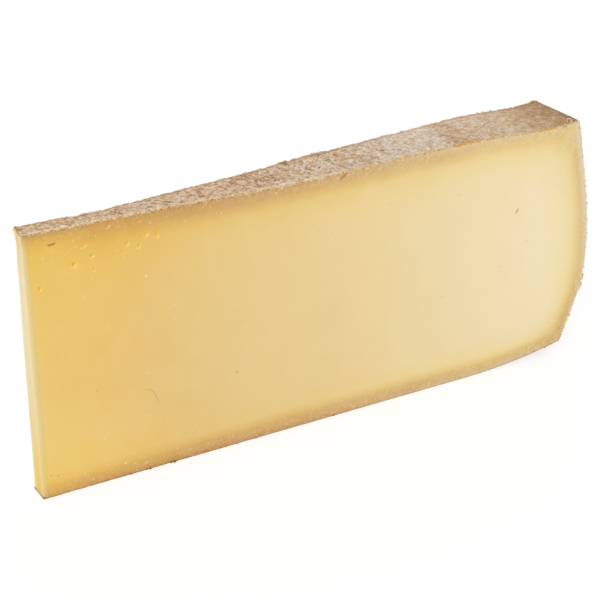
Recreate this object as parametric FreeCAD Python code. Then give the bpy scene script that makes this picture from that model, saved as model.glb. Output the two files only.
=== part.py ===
"""A slim wedge of comte cheese, cut from a wheel and standing on its lower rind.

The wheel is a solid of revolution: a flat foot that curls up at the heel, a bellied heel and a top
that sags and crowns a little. Two knife cuts meet in the wheel's axis, and a third trims the tip.

Frame: +Z up. +X runs from the trimmed tip to the heel, along the bisector of the two cuts. -Y is the
side of the cut face with the eyes. The origin is at the bottom centre of the bounding box.
Lengths are in millimetres.
"""

import FreeCAD
import Part

import math
import os

# The slice
SLICE_LENGTH = 225.5  # top rind, from the tip cut to the heel's top corner
TIP_WIDTH = 8.6  # thickness where the tip is trimmed off
HEEL_WIDTH = 26.0  # thickness at the heel's top corner

# The wheel's section
WHEEL_HEIGHT = 100.0
TOP_SAG = 1.0  # how far the top dips below the wheel's height
TOP_SAG_PLACE = 60.0  # from the tip cut
TOP_CROWN = 1.0  # how far the top rises above the wheel's height
TOP_CROWN_INSET = 49.0  # from the heel's top corner
FOOT_RISE = 4.7  # how far the foot has curled up at the heel
FOOT_CURL = 49.0  # length of the curl
FOOT_INSET = 1.1  # foot corner behind the top corner
BEVEL_HEIGHT = 30.0  # where the heel's lower bevel ends
BEVEL_OUTSET = 7.7  # how far that point stands out beyond the top corner
BEVEL_FULLNESS = 0.6  # how far the bevel swells beyond a straight line
BELLY_HEIGHT = 45.0
BELLY_OUTSET = 8.8
SHOULDER_DROP = 27.0  # below the top corner
SHOULDER_OUTSET = 5.7

# The tip's upright edges, worn round
FRONT_EDGE_RADIUS = 1.5
BACK_EDGE_FOOT_RADIUS = 0.8
BACK_EDGE_TOP_RADIUS = 3.0  # the back edge gets rounder towards the top rind

# Eyes in the front cut face. Each is a shallow cap of a ball: its depth as a share of the radius,
# then for each eye its distance from the tip cut, its depth below the top rind and its radius.
EYE_DEPTH = 0.7
EYES = (
    (4.9, 20.0, 1.05),
    (17.2, 14.0, 1.15),
    (21.1, 8.0, 0.90),
    (23.6, 12.2, 0.90),
    (24.0, 17.4, 0.75),
    (34.2, 13.4, 0.50),
    (36.2, 10.6, 0.80),
    (40.4, 12.3, 1.00),
    (43.2, 8.8, 0.95),
    (47.1, 9.7, 1.20),
)

# The two cuts meet in the wheel's axis, which lies this far beyond the tip cut.
AXIS_TO_TIP = TIP_WIDTH * SLICE_LENGTH / (HEEL_WIDTH - TIP_WIDTH)
HALF_ANGLE = math.degrees(math.atan((HEEL_WIDTH - TIP_WIDTH) / 2.0 / SLICE_LENGTH))
CORNER_RADIUS = (AXIS_TO_TIP + SLICE_LENGTH) / math.cos(math.radians(HALF_ANGLE))
INNER_RADIUS = AXIS_TO_TIP / 2.0  # the section starts well inside the tip cut


def at(radius, height):
    """A point of the wheel's section, which is drawn in the XZ plane with the wheel's axis at X = 0."""
    return FreeCAD.Vector(radius, 0.0, height)


def smooth(points):
    """One smooth edge through the points."""
    curve = Part.BSplineCurve()
    curve.interpolate(points)
    return curve.toShape()


def foot_edges(foot_corner):
    """The flat foot and the arc that curls up from it, tangent to it, to the foot corner."""
    curl_start = at(foot_corner.x - FOOT_CURL, 0.0)
    arc_radius = (FOOT_CURL**2 + FOOT_RISE**2) / (2.0 * FOOT_RISE)
    middle_angle = math.asin(FOOT_CURL / arc_radius) / 2.0
    middle = at(
        curl_start.x + arc_radius * math.sin(middle_angle),
        arc_radius * (1.0 - math.cos(middle_angle)),
    )
    return [
        Part.LineSegment(at(INNER_RADIUS, 0.0), curl_start).toShape(),
        Part.Arc(curl_start, middle, foot_corner).toShape(),
    ]


def heel_edge(foot_corner, top_corner):
    """The heel: a lower bevel, the belly and a shoulder that leans back to the top corner."""
    bevel_top = at(CORNER_RADIUS + BEVEL_OUTSET, BEVEL_HEIGHT)
    bevel_middle = (foot_corner + bevel_top) * 0.5 + at(BEVEL_FULLNESS, 0.0)
    return smooth(
        [
            foot_corner,
            bevel_middle,
            bevel_top,
            at(CORNER_RADIUS + BELLY_OUTSET, BELLY_HEIGHT),
            at(CORNER_RADIUS + SHOULDER_OUTSET, WHEEL_HEIGHT - SHOULDER_DROP),
            top_corner,
        ]
    )


def top_edge(top_corner, inner_top):
    """The top, from the heel back to the inner end, with its crown and its sag."""
    return smooth(
        [
            top_corner,
            at(CORNER_RADIUS - TOP_CROWN_INSET, WHEEL_HEIGHT + TOP_CROWN),
            at(AXIS_TO_TIP + TOP_SAG_PLACE, WHEEL_HEIGHT - TOP_SAG),
            at(AXIS_TO_TIP, WHEEL_HEIGHT),
            inner_top,
        ]
    )


def wheel_section():
    """Half of the wheel's section as a face, from the inner end to the heel."""
    foot_corner = at(CORNER_RADIUS - FOOT_INSET, FOOT_RISE)
    top_corner = at(CORNER_RADIUS, WHEEL_HEIGHT)
    inner_top = at(INNER_RADIUS, WHEEL_HEIGHT)
    edges = foot_edges(foot_corner)
    edges.append(heel_edge(foot_corner, top_corner))
    edges.append(top_edge(top_corner, inner_top))
    edges.append(Part.LineSegment(inner_top, at(INNER_RADIUS, 0.0)).toShape())
    return Part.Face(Part.Wire(edges))


def pie_slice():
    """The section swept about the wheel's axis by the angle between the two cuts."""
    axis_point = FreeCAD.Vector(0.0, 0.0, 0.0)
    up = FreeCAD.Vector(0.0, 0.0, 1.0)
    section = wheel_section()
    section.rotate(axis_point, up, -HALF_ANGLE)
    return section.revolve(axis_point, up, 2.0 * HALF_ANGLE)


def trim_tip(body):
    """Cuts the tip off square to the bisector."""
    off_cut = Part.makeBox(
        AXIS_TO_TIP,
        2.0 * HEEL_WIDTH,
        2.0 * WHEEL_HEIGHT,
        FreeCAD.Vector(0.0, -HEEL_WIDTH, -WHEEL_HEIGHT / 2.0),
    )
    return body.cut(off_cut)


def tip_edge(body, side):
    """The tip's upright edge on one side: -1 is the front, +1 the back."""
    corner = FreeCAD.Vector(AXIS_TO_TIP, side * TIP_WIDTH / 2.0, WHEEL_HEIGHT / 2.0)
    return min(body.Edges, key=lambda edge: edge.distToShape(Part.Vertex(corner))[0])


def round_tip_edges(body):
    """Rounds the tip's upright edges, the back one more and more towards the top."""
    body = body.makeFillet(FRONT_EDGE_RADIUS, [tip_edge(body, -1)])
    back = tip_edge(body, 1)
    first, last = BACK_EDGE_FOOT_RADIUS, BACK_EDGE_TOP_RADIUS
    if back.firstVertex().Point.z > back.lastVertex().Point.z:
        first, last = last, first
    return body.makeFillet(first, last, [back])


def open_eyes(body):
    """Presses a shallow round eye into the front cut face at each place in EYES."""
    half_angle = math.radians(HALF_ANGLE)
    along = FreeCAD.Vector(math.cos(half_angle), -math.sin(half_angle), 0.0)
    outward = FreeCAD.Vector(-math.sin(half_angle), -math.cos(half_angle), 0.0)
    for from_tip, below_top, radius in EYES:
        distance = (AXIS_TO_TIP + from_tip) / math.cos(half_angle)
        mouth = along * distance + FreeCAD.Vector(0.0, 0.0, WHEEL_HEIGHT - below_top)
        ball = Part.makeSphere(radius, mouth + outward * radius * (1.0 - EYE_DEPTH))
        body = body.cut(ball)
    return body


def comte_wedge():
    """The wedge in its own frame, with the origin at the bottom centre of its box."""
    body = open_eyes(round_tip_edges(trim_tip(pie_slice())))
    box = body.optimalBoundingBox(False, False)
    body.translate(FreeCAD.Vector(-(box.XMin + box.XMax) / 2.0, 0.0, 0.0))
    return body


def main():
    os.makedirs("parts", exist_ok=True)
    body = comte_wedge()
    body.exportStep("parts/cheese_wedge.step")
    box = body.optimalBoundingBox(False, False)
    print("valid", body.isValid(), "solids", len(body.Solids), "faces", len(body.Faces))
    print("volume cm3", round(body.Volume / 1000.0, 2), "axis to tip", round(AXIS_TO_TIP, 1))
    print("box", [round(v, 3) for v in (box.XMin, box.YMin, box.ZMin, box.XMax, box.YMax, box.ZMax)])


main()
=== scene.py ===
"""A slim wedge of comte cheese standing on its lower rind, on a plain pale floor.

Two closed meshes stand for the CAD wedge: the paste, and the rind that wraps its top, heel and
foot. Crumbs, crystals, specks and knife marks are small joined meshes on them.

The wedge's own places are (along, height, across): millimetres from the tip cut towards the heel,
millimetres above the floor, and -1 on the front cut to 1 on the back cut.
"""

import math
import random

import bpy
import numpy as np
from mathutils import Matrix, Vector, noise


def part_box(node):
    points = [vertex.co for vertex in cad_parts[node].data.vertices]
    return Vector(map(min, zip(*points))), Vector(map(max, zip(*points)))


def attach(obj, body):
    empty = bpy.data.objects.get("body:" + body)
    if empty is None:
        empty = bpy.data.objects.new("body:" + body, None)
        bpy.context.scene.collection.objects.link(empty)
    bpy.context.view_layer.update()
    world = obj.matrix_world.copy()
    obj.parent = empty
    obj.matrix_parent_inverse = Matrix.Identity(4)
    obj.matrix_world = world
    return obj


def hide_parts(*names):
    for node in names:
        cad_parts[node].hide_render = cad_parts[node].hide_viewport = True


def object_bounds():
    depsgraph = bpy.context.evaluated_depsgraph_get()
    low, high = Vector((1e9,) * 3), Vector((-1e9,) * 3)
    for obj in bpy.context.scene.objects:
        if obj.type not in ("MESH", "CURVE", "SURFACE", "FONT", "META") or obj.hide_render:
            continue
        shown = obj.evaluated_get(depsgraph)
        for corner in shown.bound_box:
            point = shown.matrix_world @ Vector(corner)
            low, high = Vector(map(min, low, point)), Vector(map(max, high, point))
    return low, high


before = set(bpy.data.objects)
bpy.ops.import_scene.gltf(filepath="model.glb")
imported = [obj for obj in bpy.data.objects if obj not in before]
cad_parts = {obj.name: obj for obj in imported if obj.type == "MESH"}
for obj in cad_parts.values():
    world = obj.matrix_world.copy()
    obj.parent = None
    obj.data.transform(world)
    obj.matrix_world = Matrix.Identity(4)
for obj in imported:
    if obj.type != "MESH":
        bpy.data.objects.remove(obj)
cad_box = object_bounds()

MM = 0.001
NODE = "cheese_wedge"

# ---- The wedge's form, with the CAD source's values ----

SLICE_LENGTH = 225.5  # top rind, from the tip cut to the heel's top corner
TIP_WIDTH = 8.6
HEEL_WIDTH = 26.0
WHEEL_HEIGHT = 100.0
FOOT_RISE = 4.7  # how far the foot has curled up at the heel
FOOT_CURL = 49.0
FOOT_INSET = 1.1
BEVEL_HEIGHT = 30.0
BEVEL_OUTSET = 7.7
BEVEL_FULLNESS = 0.6
BELLY_HEIGHT = 45.0
BELLY_OUTSET = 8.8
SHOULDER_DROP = 27.0
SHOULDER_OUTSET = 5.7
FRONT_EDGE_RADIUS = 1.5

AXIS_TO_TIP = TIP_WIDTH * SLICE_LENGTH / (HEEL_WIDTH - TIP_WIDTH)
HALF_ANGLE = math.atan((HEEL_WIDTH - TIP_WIDTH) / 2 / SLICE_LENGTH)
TIP_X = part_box(NODE)[0].x / MM
TOP_END = (AXIS_TO_TIP + SLICE_LENGTH) / math.cos(HALF_ANGLE) - AXIS_TO_TIP
FOOT_END = TOP_END - FOOT_INSET

# The top's two edges, worn a little differently: (along, height)
FRONT_TOP = (
    (0, 99.9), (49, 99.5), (75, 98.8), (102, 98.5), (131, 99.3), (157, 100.2), (188, 100.2),
    (212, 99.3), (TOP_END, 100),
)
BACK_TOP = (
    (0, 100.2), (6, 99.6), (14, 99.3), (24, 98.8), (48, 98.7), (72, 99.1), (96, 99.7), (112, 100.6),
    (130, 100.6), (148, 101.1), (164, 101.2), (180, 101.6), (196, 101.2), (210, 100.4),
    (TOP_END, 100.6),
)
# How round the tip's back edge has worn: (height, radius)
BACK_EDGE_RADIUS = (
    (0, 0.5), (8, 1.0), (46, 2.1), (71, 3.1), (84, 3.8), (90, 4.1), (95, 4.6), (98, 3.5), (100, 2.2),
)
# The eyes in the front cut: distance from the tip cut, depth below the wheel's height, half
# length, half height, tilt in degrees and depth, where the CAD has its round ones.
EYES = (
    (4.9, 20.0, 0.85, 1.05, 0, 0.75),
    (17.2, 14.0, 1.20, 1.05, 0, 0.85),
    (21.1, 8.0, 1.30, 0.62, 22, 0.60),
    (23.6, 12.2, 0.90, 0.85, 0, 0.65),
    (24.0, 17.4, 0.68, 0.82, 10, 0.50),
    (34.2, 13.4, 0.45, 0.50, 0, 0.35),
    (36.2, 10.6, 0.88, 0.80, 20, 0.55),
    (40.4, 12.3, 0.80, 1.15, -10, 0.70),
    (43.2, 8.8, 1.00, 0.95, 30, 0.65),
    (47.1, 9.7, 0.85, 1.45, -8, 0.80),
)


def distance_along(line):
    """How far along the line each of its points is."""
    run = np.linalg.norm(np.diff(line, axis=0), axis=1)
    return np.concatenate(([0], np.cumsum(run)))


def smooth_line(knots, count):
    """Points along a natural cubic spline through the knots."""
    knots = np.array(knots, float)
    gap = np.linalg.norm(np.diff(knots, axis=0), axis=1)
    place = distance_along(knots)
    slope = np.diff(knots, axis=0) / gap[:, None]
    system = np.eye(len(knots))
    turn = np.zeros_like(knots)
    for i in range(1, len(knots) - 1):
        system[i, i - 1 : i + 2] = gap[i - 1], 2 * (gap[i - 1] + gap[i]), gap[i]
        turn[i] = 3 * (slope[i] - slope[i - 1])
    bend = np.linalg.solve(system, turn)
    where = np.linspace(0, place[-1], count)
    i = np.clip(np.searchsorted(place, where, side="right") - 1, 0, len(gap) - 1)
    t = (where - place[i])[:, None]
    h = gap[i][:, None]
    first = slope[i] - h * (2 * bend[i] + bend[i + 1]) / 3
    return knots[i] + first * t + bend[i] * t**2 + (bend[i + 1] - bend[i]) / (3 * h) * t**3


def smooth_step(value, low, high):
    """0 below low, 1 above high and smooth between."""
    t = np.clip((value - low) / (high - low), 0, 1)
    return t * t * (3 - 2 * t)


FRONT_TOP_LINE = smooth_line(FRONT_TOP, 300)
BACK_TOP_LINE = smooth_line(BACK_TOP, 300)
BACK_EDGE_LINE = smooth_line(BACK_EDGE_RADIUS, 100)
BEVEL_MIDDLE = (FOOT_END + TOP_END + BEVEL_OUTSET) / 2 + BEVEL_FULLNESS
HEEL_KNOTS = (
    (FOOT_END, FOOT_RISE),
    (BEVEL_MIDDLE, (FOOT_RISE + BEVEL_HEIGHT) / 2.0),
    (TOP_END + BEVEL_OUTSET, BEVEL_HEIGHT),
    (TOP_END + BELLY_OUTSET, BELLY_HEIGHT),
    (TOP_END + SHOULDER_OUTSET, WHEEL_HEIGHT - SHOULDER_DROP),
    (TOP_END, WHEEL_HEIGHT),
)
HEEL_LINE = smooth_line(HEEL_KNOTS, 200)


def top_height(along, across):
    """Height of the top, which lies between its worn front and back edges."""
    front = np.interp(along, *FRONT_TOP_LINE.T)
    back = np.interp(along, *BACK_TOP_LINE.T)
    return front + (back - front) * (across + 1) / 2


def foot_height(along):
    """Height of the foot: flat, then curling up towards the heel."""
    curled = np.clip((along - (FOOT_END - FOOT_CURL)) / FOOT_CURL, 0, None)
    return FOOT_RISE * curled**2


def heel_limit(height):
    """How far the heel reaches at a height."""
    return np.interp(height, HEEL_LINE[:, 1], HEEL_LINE[:, 0])


def half_width(along):
    """Half the wedge's thickness."""
    return (AXIS_TO_TIP + along) * math.tan(HALF_ANGLE)


def place(along, height, across):
    """The wedge's own place as a point in the CAD frame, in millimetres."""
    radius = AXIS_TO_TIP + along
    angle = HALF_ANGLE * across
    x = TIP_X - AXIS_TO_TIP + radius * np.cos(angle)
    return np.stack(np.broadcast_arrays(x, radius * np.sin(angle), height), axis=-1)


# ---- Mesh helpers ----

FLIPPED = [0, 3, 2, 1]  # the order that turns quads over


def noise_at(points, size, seed, octaves=1):
    """Smooth noise from about -1 to 1 at each point, with features of the given size."""
    shift = Vector((seed, seed * 1.7, seed * 2.3))
    scaled = np.asarray(points) * (1 / np.asarray(size, float))
    return np.array([noise.fractal(Vector(p) + shift, 1, 2, octaves) for p in scaled.tolist()])


def grid_faces(rows, columns, first=0, closed=False):
    """Quads of a grid whose points run row by row. A closed grid's rows are rings."""
    here = first + np.arange((rows - 1) * columns).reshape(-1, columns)
    there = np.roll(here, -1, axis=1)
    if not closed:
        here, there = here[:, :-1], there[:, :-1]
    corners = [here, there, there + columns, here + columns]
    return np.stack(corners, axis=-1).reshape(-1, 4)


def new_mesh(name, points, faces):
    """A mesh whose points are given in millimetres."""
    mesh = bpy.data.meshes.new(name)
    mesh.from_pydata((np.asarray(points) * MM).tolist(), [], faces)
    return mesh


def new_object(name, data):
    """An object in the scene."""
    added = bpy.data.objects.new(name, data)
    bpy.context.scene.collection.objects.link(added)
    return added


def new_piece(name, points, faces, material_slot, materials):
    """A mesh object in the CAD frame that rides on the wedge's body."""
    mesh = new_mesh(name, points, faces)
    for material in materials:
        mesh.materials.append(material)
    mesh.polygons.foreach_set("use_smooth", [True] * len(mesh.polygons))
    mesh.update()
    piece = new_object(name, mesh)
    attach(piece, "root")
    return piece


def set_attributes(mesh, **attributes):
    """Numbers on each vertex, which a material reads by name."""
    for name, values in attributes.items():
        layer = mesh.attributes.new(name, "FLOAT", "POINT")
        layer.data.foreach_set("value", np.asarray(values, np.float32))


# ---- Material helpers ----

WHITE = (1, 1, 1, 1)


def colour(red, green, blue):
    """A colour given as it looks, 0 to 255, as the linear colour that shaders take."""
    shares = (red / 255, green / 255, blue / 255)
    linear = [c / 12.92 if c <= 0.04045 else ((c + 0.055) / 1.055) ** 2.4 for c in shares]
    return (*linear, 1)


def factor(red, green, blue):
    """What a colour is multiplied by."""
    return (red, green, blue, 1)


class Nodes:
    """Shader nodes under construction. Most methods add a node and return its output.

    A term is a number, an output, a field's name, or a tuple of spread's arguments. A shade is an
    output, or (red, green, blue) as it looks.
    """

    def __init__(self, tree):
        self.tree = tree
        self.fields = {}

    def add(self, kind, inputs, **settings):
        node = self.tree.nodes.new("ShaderNode" + kind)
        for name, value in settings.items():
            setattr(node, name, value)
        for name, value in inputs.items():
            self.set_input(node, name, value)
        return node

    def set_input(self, node, name, value):
        if isinstance(value, bpy.types.NodeSocket):
            self.tree.links.new(value, node.inputs[name])
        else:
            node.inputs[name].default_value = value

    def value(self, term):
        """A term as a number or an output."""
        if isinstance(term, tuple):
            return self.spread(*term)
        return self.fields[term] if isinstance(term, str) else term

    def spread(self, term, from_low, from_high, to_low=0, to_high=1):
        """A term moved from one range to another and kept inside it."""
        names = ("Value", "From Min", "From Max", "To Min", "To Max")
        numbers = (self.value(term), from_low, from_high, to_low, to_high)
        return self.add("MapRange", dict(zip(names, numbers))).outputs["Result"]

    def combine(self, operation, *terms):
        """The terms combined one after another by a Math node's operation."""
        result = self.value(terms[0])
        for term in terms[1:]:
            inputs = {0: result, 1: self.value(term)}
            result = self.add("Math", inputs, operation=operation).outputs[0]
        return result

    def total(self, *terms):
        return self.combine("ADD", *terms)

    def product(self, *terms):
        return self.combine("MULTIPLY", *terms)

    def mix(self, share, first, second, mode="MIX"):
        """The first shade with as much of the second over it as the share, a term, says."""
        shades = [colour(*s) if isinstance(s, tuple) and len(s) == 3 else s for s in (first, second)]
        inputs = {0: self.value(share), 6: shades[0], 7: shades[1]}
        return self.add("Mix", inputs, data_type="RGBA", blend_type=mode).outputs[2]

    def seen_directly(self):
        """1 for camera, glossy and transmission rays, and 0 for the rays that light the object."""
        rays = self.add("LightPath", {}).outputs
        kinds = ("Is Camera Ray", "Is Glossy Ray", "Is Transmission Ray")
        return self.combine("MAXIMUM", *(rays[kind] for kind in kinds))


class Look(Nodes):
    """A material under construction. Its body is the colour so far.

    Its fields are the height above the floor and the place across the wedge, towards the back, in
    millimetres, and the mesh's named attributes.
    """

    def __init__(self, name, *attributes):
        self.material = bpy.data.materials.new(name)
        self.material.use_nodes = True
        super().__init__(self.material.node_tree)
        self.point = self.place()
        axes = self.add("SeparateXYZ", {"Vector": self.point}).outputs
        self.fields = {"across": axes["Y"], "height": axes["Z"]}
        for attribute in attributes:
            node = self.add("Attribute", {}, attribute_name=attribute)
            self.fields[attribute] = node.outputs["Fac"]

    def place(self, stretch=(1, 1, 1), tilt=0):
        """The point's place in millimetres, tilted about Y and then stretched along each axis."""
        vector = self.add("TexCoord", {}).outputs["Object"]
        if tilt:
            turn = {"Vector": vector, "Rotation": (0, tilt, 0)}
            vector = self.add("Mapping", turn).outputs["Vector"]
        scale = [1 / (MM * s) for s in stretch]
        return self.add("Mapping", {"Vector": vector, "Scale": scale}).outputs["Vector"]

    def noise(self, size, detail=2, roughness=0.5, distortion=0, place=None):
        """Noise around 0.5 with features of the given size in millimetres."""
        vector = self.point if place is None else place
        names = ("Vector", "Scale", "Detail", "Roughness", "Distortion")
        values = (vector, 1 / size, detail, roughness, distortion)
        return self.add("TexNoise", dict(zip(names, values))).outputs["Fac"]

    def spot(self, centre, reach, wobble):
        """1 near the centre and 0 beyond reach along each axis, in millimetres, with a rough edge."""
        away = self.add("VectorMath", {0: self.point, 1: centre}, operation="SUBTRACT")
        share = self.add("VectorMath", {0: away.outputs[0], 1: reach}, operation="DIVIDE")
        length = self.add("VectorMath", {0: share.outputs[0]}, operation="LENGTH").outputs["Value"]
        return self.spread(self.total(length, (wobble, 0.3, 0.7, -0.4, 0.4)), 1, 0.5)

    def ramp(self, term, stops, kind=colour):
        """Colours along a term. Each stop is its place and the three numbers of its colour."""
        node = self.add("ValToRGB", {"Fac": self.value(term)})
        elements = node.color_ramp.elements
        while len(elements) < len(stops):
            elements.new(0.5)
        for element, (where, *shade) in zip(elements, stops):
            element.position = where
            element.color = kind(*shade)
        return node.outputs["Color"]

    def cover(self, shade, *terms):
        """Lays a shade over the body, as strongly as the product of the terms."""
        self.body = self.mix(self.product(*terms), self.body, shade)

    def tint(self, red, green, blue, *terms):
        """Multiplies the body, as strongly as the product of the terms."""
        share = self.product(*terms)
        self.body = self.mix(share, self.body, factor(red, green, blue), "MULTIPLY")

    def bump(self, height, distance, strength=1, normal=None):
        """Bump whose height runs from 0 to distance, in millimetres."""
        inputs = {"Height": height, "Distance": distance * MM, "Strength": strength}
        if normal is not None:
            inputs["Normal"] = normal
        return self.add("Bump", inputs).outputs["Normal"]

    def finish(self, **sockets):
        surface = self.tree.nodes["Principled BSDF"]
        self.set_input(surface, "Base Color", self.body)
        for name, value in sockets.items():
            self.set_input(surface, name.replace("_", " "), value)
        return self.material


# ---- Materials ----

# The paste from the tip to the heel: share of the length, colour
PASTE_LENGTHWAYS = (
    (0.00, 232, 198, 112), (0.09, 233, 196, 113), (0.16, 231, 195, 117), (0.22, 230, 197, 126),
    (0.31, 231, 201, 136), (0.40, 233, 206, 143), (0.49, 234, 209, 150), (0.58, 237, 213, 158),
    (0.67, 238, 218, 168), (0.76, 241, 222, 176), (0.90, 245, 228, 189), (1.00, 247, 232, 196),
)
# What the paste is multiplied by from just under the rind, at 0, to 24 mm inside it, at 1
PASTE_INWARDS = (
    (0.00, 0.76, 0.62, 0.48), (0.06, 0.82, 0.68, 0.51), (0.12, 0.86, 0.74, 0.53),
    (0.21, 0.90, 0.80, 0.55), (0.30, 0.95, 0.88, 0.64), (0.42, 0.98, 0.945, 0.77),
    (0.64, 1, 0.985, 0.90), (1, 1, 1, 1),
)
# The tip's face, painted paler as a painted glow of light through the thin tip, from the foot, at 0, to
# 60 mm up, at 1
TIP_FACE_GLOW = (
    (0.00, 239, 198, 90), (0.15, 242, 208, 106), (0.40, 242, 216, 140), (0.70, 243, 222, 168),
    (1.00, 244, 225, 180),
)


def paste_look():
    """Pressed paste: golden at the tip, ivory at the heel, browner and drier under the rind, with a
    painted glow and a painted highlight at the tip.
    """
    look = Look("paste", "from_tip", "under_rind", "under_heel", "eye", "rim")
    along = look.total("from_tip", (look.noise(16, 3), 0.3, 0.7, -6, 6))
    look.body = look.ramp((along, 0, 225), PASTE_LENGTHWAYS)

    # Yellower low down near the tip, and richest in the upper part near it
    look.tint(1.03, 1.065, 1.04, ("height", 40, 14), ("from_tip", 66, 30), ("under_rind", 3, 9))
    look.tint(1, 0.985, 0.78, ("height", 45, 92), ("from_tip", 85, 25))

    # The band under the rind, narrower at the foot
    sooner = look.product(("under_rind", 4.5, 9, 0, 6), ("height", 30, 15))
    depth = look.total("under_rind", (look.noise(6, 3, 0.6), 0.3, 0.7, -0.8, 0.8), sooner)
    band = look.ramp((depth, 0, 24), PASTE_INWARDS, factor)
    look.body = look.mix(1, look.body, band, "MULTIPLY")
    look.tint(0.94, 0.88, 0.86, ("from_tip", 35, 65), ("from_tip", 190, 160), ("under_rind", 8.5, 5))
    look.tint(0.96, 0.86, 0.78, ("under_rind", 2.4, 1, 0, 0.8), ("from_tip", 150, 100))
    dried = look.product(("under_rind", 3.2, 1), ("from_tip", 125, 165, 0, 0.5))
    look.cover((238, 220, 186), dried, ("height", 30, 70, 0.35, 1))

    # A warmer line inside the dried skin: near the tip's top, and again towards the heel
    warm_tip = look.product(("from_tip", 38, 26), ("height", 60, 80))
    warm = look.combine("MAXIMUM", warm_tip, ("from_tip", 160, 200, 0, 0.8))
    look.tint(0.97, 0.955, 0.84, ("under_rind", 1.5, 2.5), ("under_rind", 8, 5), warm)

    # Duller just inside the skin, under the top rind and then towards the heel
    inside = look.product(("under_rind", 5, 3.8), ("under_rind", 1.2, 2.2))
    under_top = look.product(("from_tip", 24, 38), ("from_tip", 150, 130), ("height", 60, 80))
    look.tint(0.96, 0.93, 0.97, under_top, inside)
    look.tint(0.97, 0.935, 0.86, ("height", 92, 84), ("from_tip", 110, 170), inside)

    # Paler at the tip's top, and yellower at its foot, in the heel's low corner and along the foot
    tip_top = look.product(("from_tip", 24, 12), ("height", 60, 80))
    look.tint(1.09, 1.09, 1.03, tip_top, ("under_rind", 9, 6), ("under_rind", 1.2, 2.6))
    look.tint(1.06, 1.035, 0.88, ("from_tip", 15, 9), ("height", 8, 5))
    look.tint(0.94, 0.92, 0.83, ("height", 24, 10), ("under_heel", 20, 9))
    look.tint(1, 0.995, 0.93, ("height", 14, 8), ("from_tip", 110, 150))

    # The heel has dried pale, and is browner low down and in its top corner
    look.tint(0.95, 0.885, 0.73, ("height", 38, 12), ("under_heel", 14, 5))
    look.tint(0.98, 0.955, 0.88, ("from_tip", 185, 215), ("height", 68, 88))
    corner = look.product(("from_tip", 212.5, 217), ("from_tip", 223, 221))
    look.tint(0.92, 0.90, 0.78, corner, ("height", 85, 90), ("height", 96.5, 94.5))
    look.tint(1, 0.95, 0.83, ("height", 44, 32), ("under_heel", 3.8, 2.6))
    look.cover((238, 221, 188), 0.9, ("height", 36, 70), ("under_heel", 3.2, 1.2))

    # Dry, pale fibres just under the rind, most of them at the heel
    slant = look.place((0.32, 1, 1.5), tilt=math.radians(-42))
    fibres = look.spread(look.noise(1, 3, 0.65, place=slant), 0.46, 0.62)
    near_rind = look.spread("under_rind", 1, 7, 1, 0)
    heel_corner = look.product(("from_tip", 214, 224), ("height", 76, 94))
    reach = look.combine("MAXIMUM", near_rind, heel_corner)
    look.cover((244, 227, 190), fibres, reach, ("from_tip", 60, 215, 0.15, 0.85))
    grain = look.noise(0.6, 3, 0.6)
    look.cover((242, 222, 182), (grain, 0.56, 0.66), near_rind, ("from_tip", 20, 90, 0.25, 0.55))
    pored = ("from_tip", 80, 150, 0.55, 0.20)
    look.cover((182, 132, 76), (grain, 0.46, 0.34), ("under_rind", 5, 1.5), pored)

    # The tip's front edge has dried nearly white, and its pale strip is also a painted highlight on the
    # edge's rounding
    narrower = look.total("from_tip", ("height", 82, 94, 0, 0.3))
    strip = look.combine("POWER", (narrower, 0.3, 4.5, 1, 0), 3)
    dried_and_highlight_shade = look.mix(("height", 34, 8), (233, 214, 172), (236, 208, 136))
    look.cover(dried_and_highlight_shade, strip, ("height", 99, 95, 0.3, 0.85), ("across", 1.5, 0))

    # The tip's face is painted paler, a painted glow of light through the thin tip, most of all towards
    # the front edge, where its whitish part is dried and a painted highlight as well
    face = look.ramp(("height", 0, 60), TIP_FACE_GLOW)
    low_front = look.product(0.6, ("across", -1.5, -4), ("height", 60, 30))
    face = look.mix(low_front, face, (236, 216, 170))
    upper = look.mix(("across", 0.8, -3), (248, 212, 120), (231, 209, 164))
    face = look.mix(("height", 84, 95, 0, 0.9), face, upper)
    high_front_dried_and_highlight = look.product(0.6, ("across", -1.2, -2.8), ("height", 70, 84))
    face = look.mix(high_front_dried_and_highlight, face, (238, 226, 198))
    look.cover(face, ("from_tip", 0.03, 0.30, 1, 0))

    # The thin back edge has a painted glow: brighter colour stands in for light through the thin tip,
    # where the lamps leave it in shade
    leaning = look.total("across", look.product("height", 0.034))
    painted_low_glow = look.product(("across", 1, 3.6), ("height", 34, 16))
    painted_glow = look.combine("MAXIMUM", (leaning, 2.8, 3.7, 0, 0.85), painted_low_glow)
    painted_glow_shade = look.mix(("height", 40, 15), (255, 240, 186), (255, 238, 158))
    painted_glow_shade = look.mix(("height", 86, 94), painted_glow_shade, (253, 224, 146))
    look.cover(painted_glow_shade, painted_glow, ("from_tip", 1.9, 0.7))

    # Painted shade on the worn front edge's rounding, which the lamps light more than the faces it joins
    look.tint(0.875, 0.91, 0.87, ("from_tip", 0.10, 0.45), ("from_tip", 2.8, 0.9), ("across", 0, -2))

    # Soft mottling, then the eyes, moist and deep yellow with a pale rim that is partly a painted
    # highlight
    look.cover((247, 232, 190), (look.noise(9, 4, 0.55), 0.35, 0.75, 0, 0.08))
    look.cover((205, 160, 95), (look.noise(0.5, 2, 0.6), 0.35, 0.65, 0, 0.04))
    look.cover((246, 226, 172), "rim", 0.4)
    look.cover((242, 202, 54), "eye")

    dry = look.product(("eye", 0, 1, 1, 0), (look.noise(1.4, 3), 0.3, 0.7, 0.46, 0.60))
    normal = look.bump(look.noise(0.45, 3, 0.6), 0.02)
    return look.finish(
        Roughness=look.total(dry, look.product("eye", 0.32)),
        IOR=1.45,
        Subsurface_Weight=0.25,
        Subsurface_Radius=(1, 0.55, 0.2),
        Subsurface_Scale=0.003,
        Normal=look.bump(look.product(fibres, near_rind), 0.12, 0.7, normal),
    )


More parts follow.
